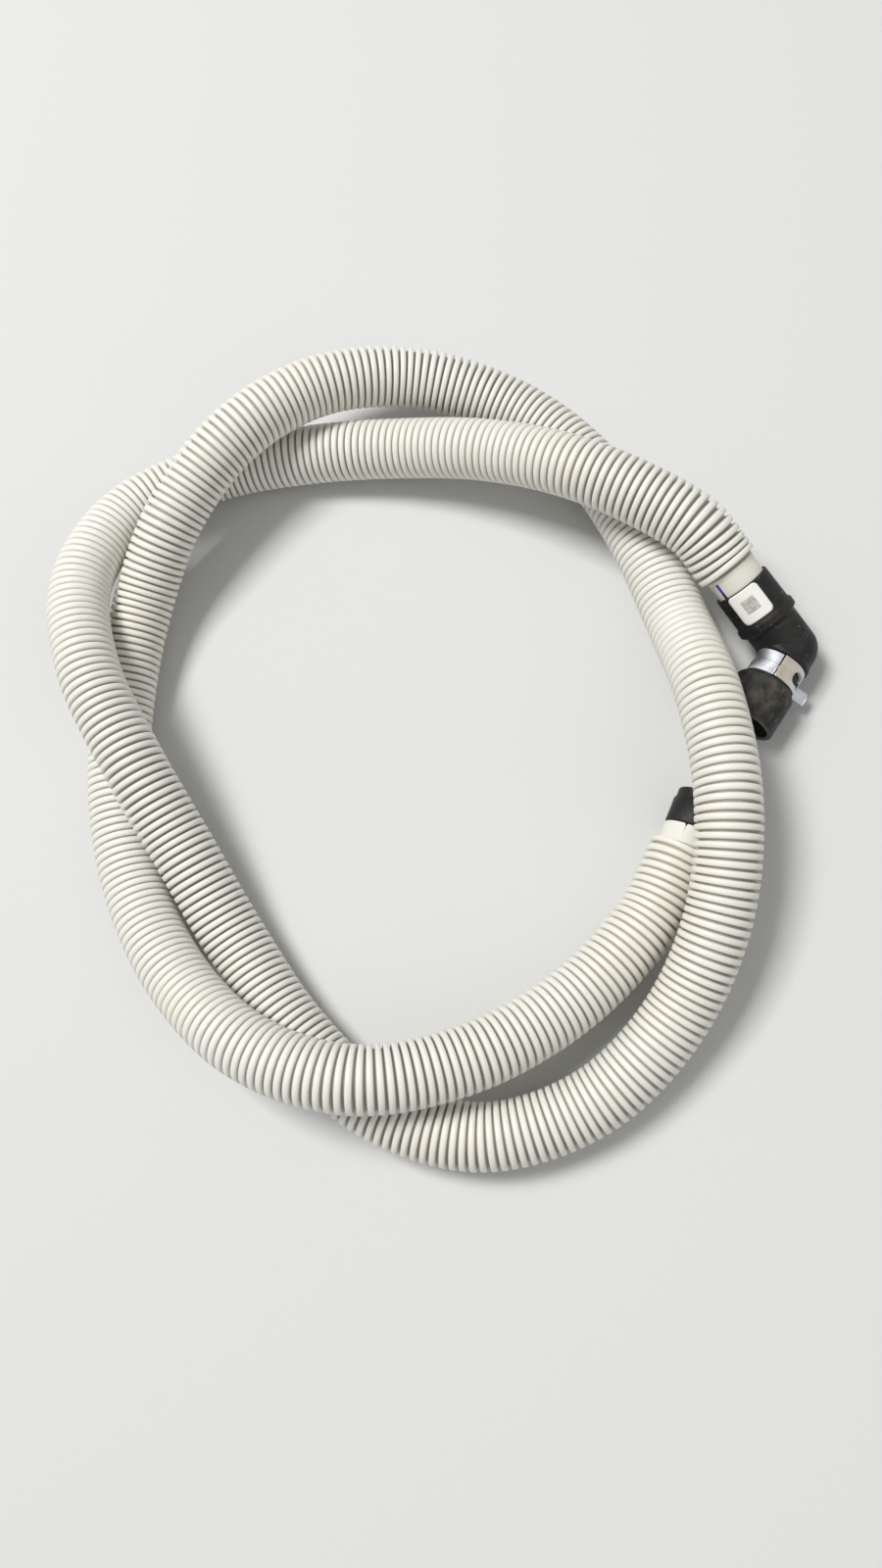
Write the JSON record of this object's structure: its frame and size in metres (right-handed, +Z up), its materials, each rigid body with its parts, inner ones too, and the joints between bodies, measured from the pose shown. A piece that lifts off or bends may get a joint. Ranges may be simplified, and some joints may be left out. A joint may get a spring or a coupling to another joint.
{
  "type": "dishwasher drain hose",
  "caption": "Coiled corrugated drain hose with plain cuffs, a rubber elbow boot with a strip clamp on one end and a short rubber sleeve in the other.",
  "frame": {"origin": "on the floor that the coil lies on, under the middle of its bounding box", "axes": "+Z up from the floor; +Y along the coil's longer side, away from the viewer of the picture; +X to the side where both ends lie"},
  "size_m": [0.3228, 0.3474, 0.0537],
  "materials": {
    "hose": "blown cream-white plastic, low satin sheen",
    "boot": "moulded black rubber, satin",
    "clamp": "bright zinc-plated spring steel",
    "label": "matt white adhesive film",
    "sleeve": "moulded black rubber, matt"
  },
  "bodies": {
    "root": {"drain_hose": "hose", "elbow_boot": "boot", "hose_clamp": "clamp", "label": "label", "end_sleeve": "sleeve"}
  },
  "joints": []
}
